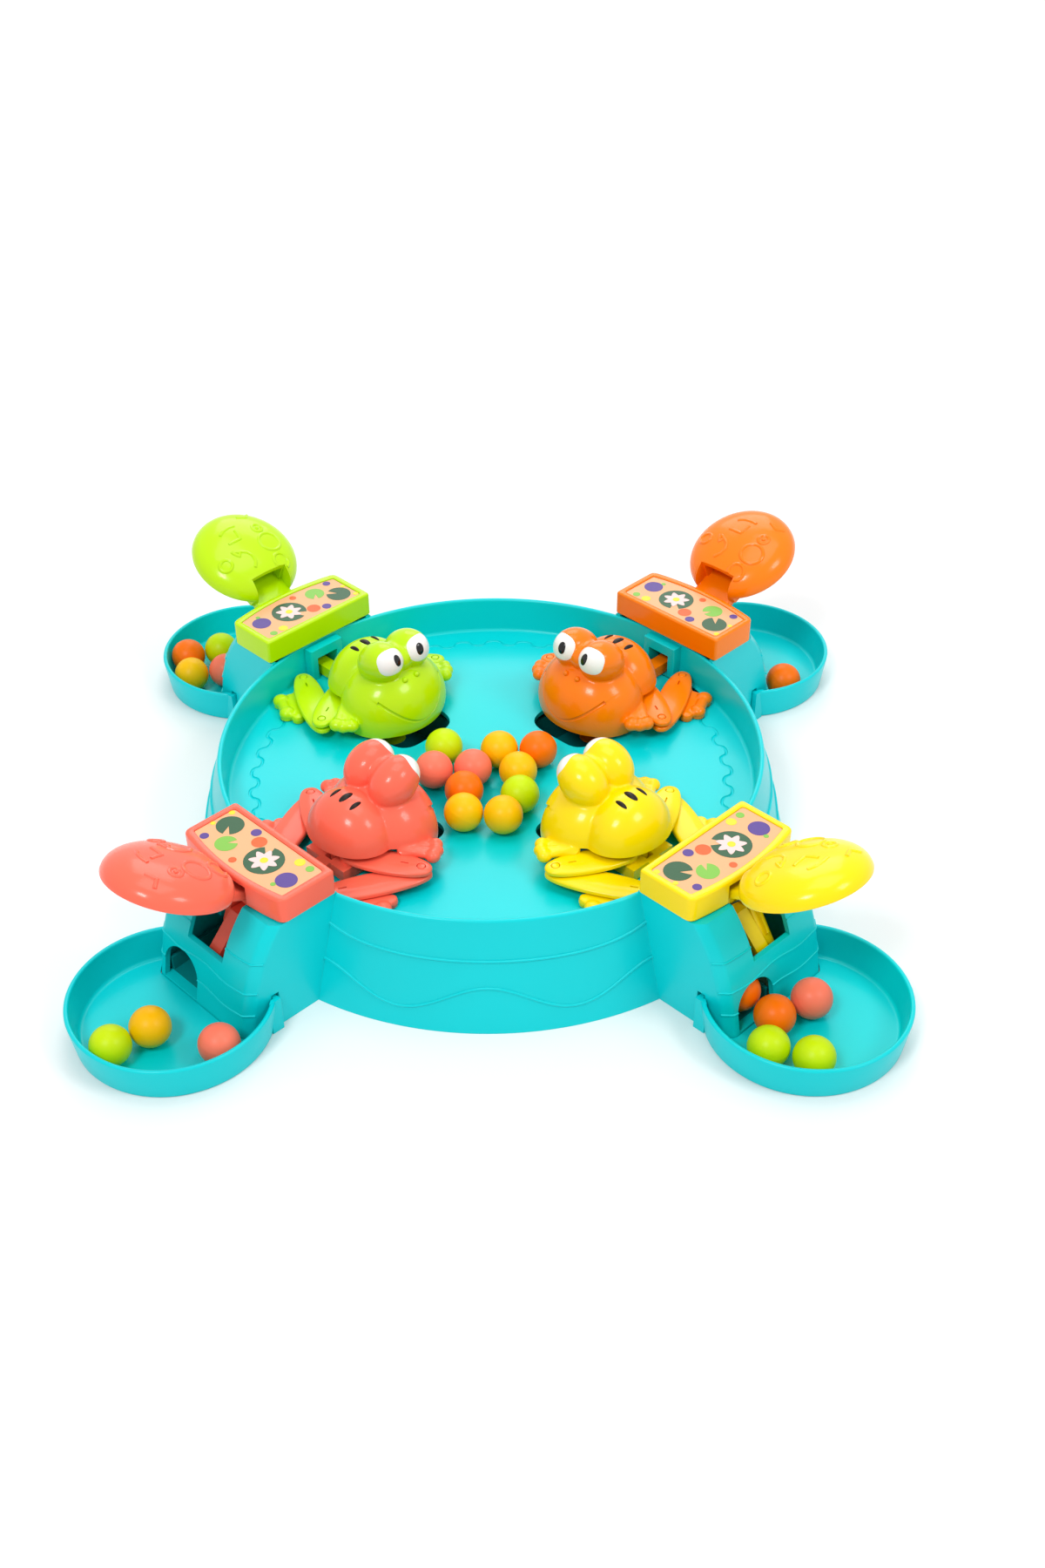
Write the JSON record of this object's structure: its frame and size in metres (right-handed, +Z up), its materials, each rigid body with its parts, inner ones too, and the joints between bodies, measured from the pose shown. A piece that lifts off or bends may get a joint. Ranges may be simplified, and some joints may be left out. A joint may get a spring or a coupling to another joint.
{
  "type": "marble grabbing game",
  "caption": "Round tabletop game: pressing a lever slides a frog inwards, lifts its head and drops it over a marble, which rolls down a chute into a tray.",
  "frame": {"origin": "middle of the underside of the round arena, where it stands on the table", "axes": "+Z up; +X to the right and +Y away from the viewer, with a player on each diagonal"},
  "size_m": [0.2992, 0.2992, 0.0769],
  "materials": {
    "turquoise": "glossy moulded plastic",
    "pink": "glossy moulded plastic",
    "yellow": "glossy moulded plastic",
    "orange": "glossy moulded plastic",
    "green": "glossy moulded plastic",
    "marble_pink": "satin moulded plastic",
    "marble_yellow": "satin moulded plastic",
    "marble_orange": "satin moulded plastic",
    "marble_green": "satin moulded plastic",
    "spring_steel": "drawn spring wire"
  },
  "bodies": {
    "arena": {"arena_base": "turquoise", "ball_chutes": "turquoise", "cap_pink": "pink", "foot_left_pink": "pink", "foot_right_pink": "pink", "tray_pink": "turquoise", "return_spring_pink": "spring_steel", "cap_yellow": "yellow", "foot_left_yellow": "yellow", "foot_right_yellow": "yellow", "tray_yellow": "turquoise", "return_spring_yellow": "spring_steel", "cap_orange": "orange", "foot_left_orange": "orange", "foot_right_orange": "orange", "tray_orange": "turquoise", "return_spring_orange": "spring_steel", "cap_green": "green", "foot_left_green": "green", "foot_right_green": "green", "tray_green": "turquoise", "return_spring_green": "spring_steel"},
    "lever_pink": {"lever_pink": "pink"},
    "carriage_pink": {"carriage_pink": "pink"},
    "frog_pink": {"frog_head_pink": "pink"},
    "shin_left_pink": {"shin_left_pink": "pink"},
    "thigh_left_pink": {"thigh_left_pink": "pink"},
    "shin_right_pink": {"shin_right_pink": "pink"},
    "thigh_right_pink": {"thigh_right_pink": "pink"},
    "lever_yellow": {"lever_yellow": "yellow"},
    "carriage_yellow": {"carriage_yellow": "yellow"},
    "frog_yellow": {"frog_head_yellow": "yellow"},
    "shin_left_yellow": {"shin_left_yellow": "yellow"},
    "thigh_left_yellow": {"thigh_left_yellow": "yellow"},
    "shin_right_yellow": {"shin_right_yellow": "yellow"},
    "thigh_right_yellow": {"thigh_right_yellow": "yellow"},
    "lever_orange": {"lever_orange": "orange"},
    "carriage_orange": {"carriage_orange": "orange"},
    "frog_orange": {"frog_head_orange": "orange"},
    "shin_left_orange": {"shin_left_orange": "orange"},
    "thigh_left_orange": {"thigh_left_orange": "orange"},
    "shin_right_orange": {"shin_right_orange": "orange"},
    "thigh_right_orange": {"thigh_right_orange": "orange"},
    "lever_green": {"lever_green": "green"},
    "carriage_green": {"carriage_green": "green"},
    "frog_green": {"frog_head_green": "green"},
    "shin_left_green": {"shin_left_green": "green"},
    "thigh_left_green": {"thigh_left_green": "green"},
    "shin_right_green": {"shin_right_green": "green"},
    "thigh_right_green": {"thigh_right_green": "green"},
    "marble_1": {"marble_1": "marble_green"},
    "marble_2": {"marble_2": "marble_yellow"},
    "marble_3": {"marble_3": "marble_orange"},
    "marble_4": {"marble_4": "marble_pink"},
    "marble_5": {"marble_5": "marble_pink"},
    "marble_6": {"marble_6": "marble_yellow"},
    "marble_7": {"marble_7": "marble_orange"},
    "marble_8": {"marble_8": "marble_green"},
    "marble_9": {"marble_9": "marble_yellow"},
    "marble_10": {"marble_10": "marble_yellow"}
  },
  "joints": [
    {"name": "lever_pink_press", "type": "hinge", "parent": "arena", "child": "lever_pink", "pos_m": [-0.08485, -0.08485, 0.038], "axis": [0.7071, -0.7071, 0], "range_deg": [0, 25], "stiffness_Nm_per_rad": 0.06, "springref_deg": -45.84, "deforming": ["return_spring_pink"]},
    {"name": "carriage_pink_slide", "type": "slide", "parent": "arena", "child": "carriage_pink", "axis": [0.7071, 0.7071, 0], "range_m": [0, 0.01]},
    {"name": "frog_pink_tilt", "type": "hinge", "parent": "carriage_pink", "child": "frog_pink", "pos_m": [-0.05586, -0.05586, 0.031], "axis": [0.7071, -0.7071, 0], "range_deg": [0, 27.1]},
    {"name": "shin_left_pink_swing", "type": "hinge", "parent": "arena", "child": "shin_left_pink", "pos_m": [-0.05869, -0.07976, 0.033], "axis": [0, 0, 1], "range_deg": [-6.1, 0]},
    {"name": "thigh_left_pink_swing", "type": "hinge", "parent": "shin_left_pink", "child": "thigh_left_pink", "pos_m": [-0.02439, -0.06882, 0.0358], "axis": [0, 0, 1], "range_deg": [-19.9, 0]},
    {"name": "shin_right_pink_swing", "type": "hinge", "parent": "arena", "child": "shin_right_pink", "pos_m": [-0.07976, -0.05869, 0.033], "axis": [0, 0, 1], "range_deg": [0, 6.1]},
    {"name": "thigh_right_pink_swing", "type": "hinge", "parent": "shin_right_pink", "child": "thigh_right_pink", "pos_m": [-0.06882, -0.02439, 0.0358], "axis": [0, 0, 1], "range_deg": [0, 19.9]},
    {"name": "lever_yellow_press", "type": "hinge", "parent": "arena", "child": "lever_yellow", "pos_m": [0.08485, -0.08485, 0.038], "axis": [0.7071, 0.7071, 0], "range_deg": [0, 25], "stiffness_Nm_per_rad": 0.06, "springref_deg": -45.84, "deforming": ["return_spring_yellow"]},
    {"name": "carriage_yellow_slide", "type": "slide", "parent": "arena", "child": "carriage_yellow", "axis": [-0.7071, 0.7071, 0], "range_m": [0, 0.01]},
    {"name": "frog_yellow_tilt", "type": "hinge", "parent": "carriage_yellow", "child": "frog_yellow", "pos_m": [0.05586, -0.05586, 0.031], "axis": [0.7071, 0.7071, 0], "range_deg": [0, 27.1]},
    {"name": "shin_left_yellow_swing", "type": "hinge", "parent": "arena", "child": "shin_left_yellow", "pos_m": [0.07976, -0.05869, 0.033], "axis": [0, 0, 1], "range_deg": [-6.1, 0]},
    {"name": "thigh_left_yellow_swing", "type": "hinge", "parent": "shin_left_yellow", "child": "thigh_left_yellow", "pos_m": [0.06882, -0.02439, 0.0358], "axis": [0, 0, 1], "range_deg": [-19.9, 0]},
    {"name": "shin_right_yellow_swing", "type": "hinge", "parent": "arena", "child": "shin_right_yellow", "pos_m": [0.05869, -0.07976, 0.033], "axis": [0, 0, 1], "range_deg": [0, 6.1]},
    {"name": "thigh_right_yellow_swing", "type": "hinge", "parent": "shin_right_yellow", "child": "thigh_right_yellow", "pos_m": [0.02439, -0.06882, 0.0358], "axis": [0, 0, 1], "range_deg": [0, 19.9]},
    {"name": "lever_orange_press", "type": "hinge", "parent": "arena", "child": "lever_orange", "pos_m": [0.08485, 0.08485, 0.038], "axis": [-0.7071, 0.7071, 0], "range_deg": [0, 25], "stiffness_Nm_per_rad": 0.06, "springref_deg": -45.84, "deforming": ["return_spring_orange"]},
    {"name": "carriage_orange_slide", "type": "slide", "parent": "arena", "child": "carriage_orange", "axis": [-0.7071, -0.7071, 0], "range_m": [0, 0.01]},
    {"name": "frog_orange_tilt", "type": "hinge", "parent": "carriage_orange", "child": "frog_orange", "pos_m": [0.05586, 0.05586, 0.031], "axis": [-0.7071, 0.7071, 0], "range_deg": [0, 27.1]},
    {"name": "shin_left_orange_swing", "type": "hinge", "parent": "arena", "child": "shin_left_orange", "pos_m": [0.05869, 0.07976, 0.033], "axis": [0, 0, 1], "range_deg": [-6.1, 0]},
    {"name": "thigh_left_orange_swing", "type": "hinge", "parent": "shin_left_orange", "child": "thigh_left_orange", "pos_m": [0.02439, 0.06882, 0.0358], "axis": [0, 0, 1], "range_deg": [-19.9, 0]},
    {"name": "shin_right_orange_swing", "type": "hinge", "parent": "arena", "child": "shin_right_orange", "pos_m": [0.07976, 0.05869, 0.033], "axis": [0, 0, 1], "range_deg": [0, 6.1]},
    {"name": "thigh_right_orange_swing", "type": "hinge", "parent": "shin_right_orange", "child": "thigh_right_orange", "pos_m": [0.06882, 0.02439, 0.0358], "axis": [0, 0, 1], "range_deg": [0, 19.9]},
    {"name": "lever_green_press", "type": "hinge", "parent": "arena", "child": "lever_green", "pos_m": [-0.08485, 0.08485, 0.038], "axis": [-0.7071, -0.7071, 0], "range_deg": [0, 25], "stiffness_Nm_per_rad": 0.06, "springref_deg": -45.84, "deforming": ["return_spring_green"]},
    {"name": "carriage_green_slide", "type": "slide", "parent": "arena", "child": "carriage_green", "axis": [0.7071, -0.7071, 0], "range_m": [0, 0.01]},
    {"name": "frog_green_tilt", "type": "hinge", "parent": "carriage_green", "child": "frog_green", "pos_m": [-0.05586, 0.05586, 0.031], "axis": [-0.7071, -0.7071, 0], "range_deg": [0, 27.1]},
    {"name": "shin_left_green_swing", "type": "hinge", "parent": "arena", "child": "shin_left_green", "pos_m": [-0.07976, 0.05869, 0.033], "axis": [0, 0, 1], "range_deg": [-6.1, 0]},
    {"name": "thigh_left_green_swing", "type": "hinge", "parent": "shin_left_green", "child": "thigh_left_green", "pos_m": [-0.06882, 0.02439, 0.0358], "axis": [0, 0, 1], "range_deg": [-19.9, 0]},
    {"name": "shin_right_green_swing", "type": "hinge", "parent": "arena", "child": "shin_right_green", "pos_m": [-0.05869, 0.07976, 0.033], "axis": [0, 0, 1], "range_deg": [0, 6.1]},
    {"name": "thigh_right_green_swing", "type": "hinge", "parent": "shin_right_green", "child": "thigh_right_green", "pos_m": [-0.02439, 0.06882, 0.0358], "axis": [0, 0, 1], "range_deg": [0, 19.9]},
    {"name": "marble_1_lift", "type": "slide", "parent": "arena", "child": "marble_1", "axis": [0, 0, 1], "range_m": [0, 0.06]},
    {"name": "marble_2_lift", "type": "slide", "parent": "arena", "child": "marble_2", "axis": [0, 0, 1], "range_m": [0, 0.06]},
    {"name": "marble_3_lift", "type": "slide", "parent": "arena", "child": "marble_3", "axis": [0, 0, 1], "range_m": [0, 0.06]},
    {"name": "marble_4_lift", "type": "slide", "parent": "arena", "child": "marble_4", "axis": [0, 0, 1], "range_m": [0, 0.06]},
    {"name": "marble_5_lift", "type": "slide", "parent": "arena", "child": "marble_5", "axis": [0, 0, 1], "range_m": [0, 0.06]},
    {"name": "marble_6_lift", "type": "slide", "parent": "arena", "child": "marble_6", "axis": [0, 0, 1], "range_m": [0, 0.06]},
    {"name": "marble_7_lift", "type": "slide", "parent": "arena", "child": "marble_7", "axis": [0, 0, 1], "range_m": [0, 0.06]},
    {"name": "marble_8_lift", "type": "slide", "parent": "arena", "child": "marble_8", "axis": [0, 0, 1], "range_m": [0, 0.06]},
    {"name": "marble_9_lift", "type": "slide", "parent": "arena", "child": "marble_9", "axis": [0, 0, 1], "range_m": [0, 0.06]},
    {"name": "marble_10_lift", "type": "slide", "parent": "arena", "child": "marble_10", "axis": [0, 0, 1], "range_m": [0, 0.06]}
  ],
  "couplings": [
    {"joint": "carriage_pink_slide", "follows": "lever_pink_press", "m_per_rad": 0.0229},
    {"joint": "frog_pink_tilt", "follows": "lever_pink_press", "ratio": 1.08},
    {"joint": "shin_left_pink_swing", "follows": "lever_pink_press", "ratio": -0.24071},
    {"joint": "thigh_left_pink_swing", "follows": "lever_pink_press", "ratio": -0.78944},
    {"joint": "shin_right_pink_swing", "follows": "lever_pink_press", "ratio": 0.24071},
    {"joint": "thigh_right_pink_swing", "follows": "lever_pink_press", "ratio": 0.78944},
    {"joint": "carriage_yellow_slide", "follows": "lever_yellow_press", "m_per_rad": 0.0229},
    {"joint": "frog_yellow_tilt", "follows": "lever_yellow_press", "ratio": 1.08},
    {"joint": "shin_left_yellow_swing", "follows": "lever_yellow_press", "ratio": -0.24071},
    {"joint": "thigh_left_yellow_swing", "follows": "lever_yellow_press", "ratio": -0.78944},
    {"joint": "shin_right_yellow_swing", "follows": "lever_yellow_press", "ratio": 0.24071},
    {"joint": "thigh_right_yellow_swing", "follows": "lever_yellow_press", "ratio": 0.78944},
    {"joint": "carriage_orange_slide", "follows": "lever_orange_press", "m_per_rad": 0.0229},
    {"joint": "frog_orange_tilt", "follows": "lever_orange_press", "ratio": 1.08},
    {"joint": "shin_left_orange_swing", "follows": "lever_orange_press", "ratio": -0.24071},
    {"joint": "thigh_left_orange_swing", "follows": "lever_orange_press", "ratio": -0.78944},
    {"joint": "shin_right_orange_swing", "follows": "lever_orange_press", "ratio": 0.24071},
    {"joint": "thigh_right_orange_swing", "follows": "lever_orange_press", "ratio": 0.78944},
    {"joint": "carriage_green_slide", "follows": "lever_green_press", "m_per_rad": 0.0229},
    {"joint": "frog_green_tilt", "follows": "lever_green_press", "ratio": 1.08},
    {"joint": "shin_left_green_swing", "follows": "lever_green_press", "ratio": -0.24071},
    {"joint": "thigh_left_green_swing", "follows": "lever_green_press", "ratio": -0.78944},
    {"joint": "shin_right_green_swing", "follows": "lever_green_press", "ratio": 0.24071},
    {"joint": "thigh_right_green_swing", "follows": "lever_green_press", "ratio": 0.78944}
  ]
}
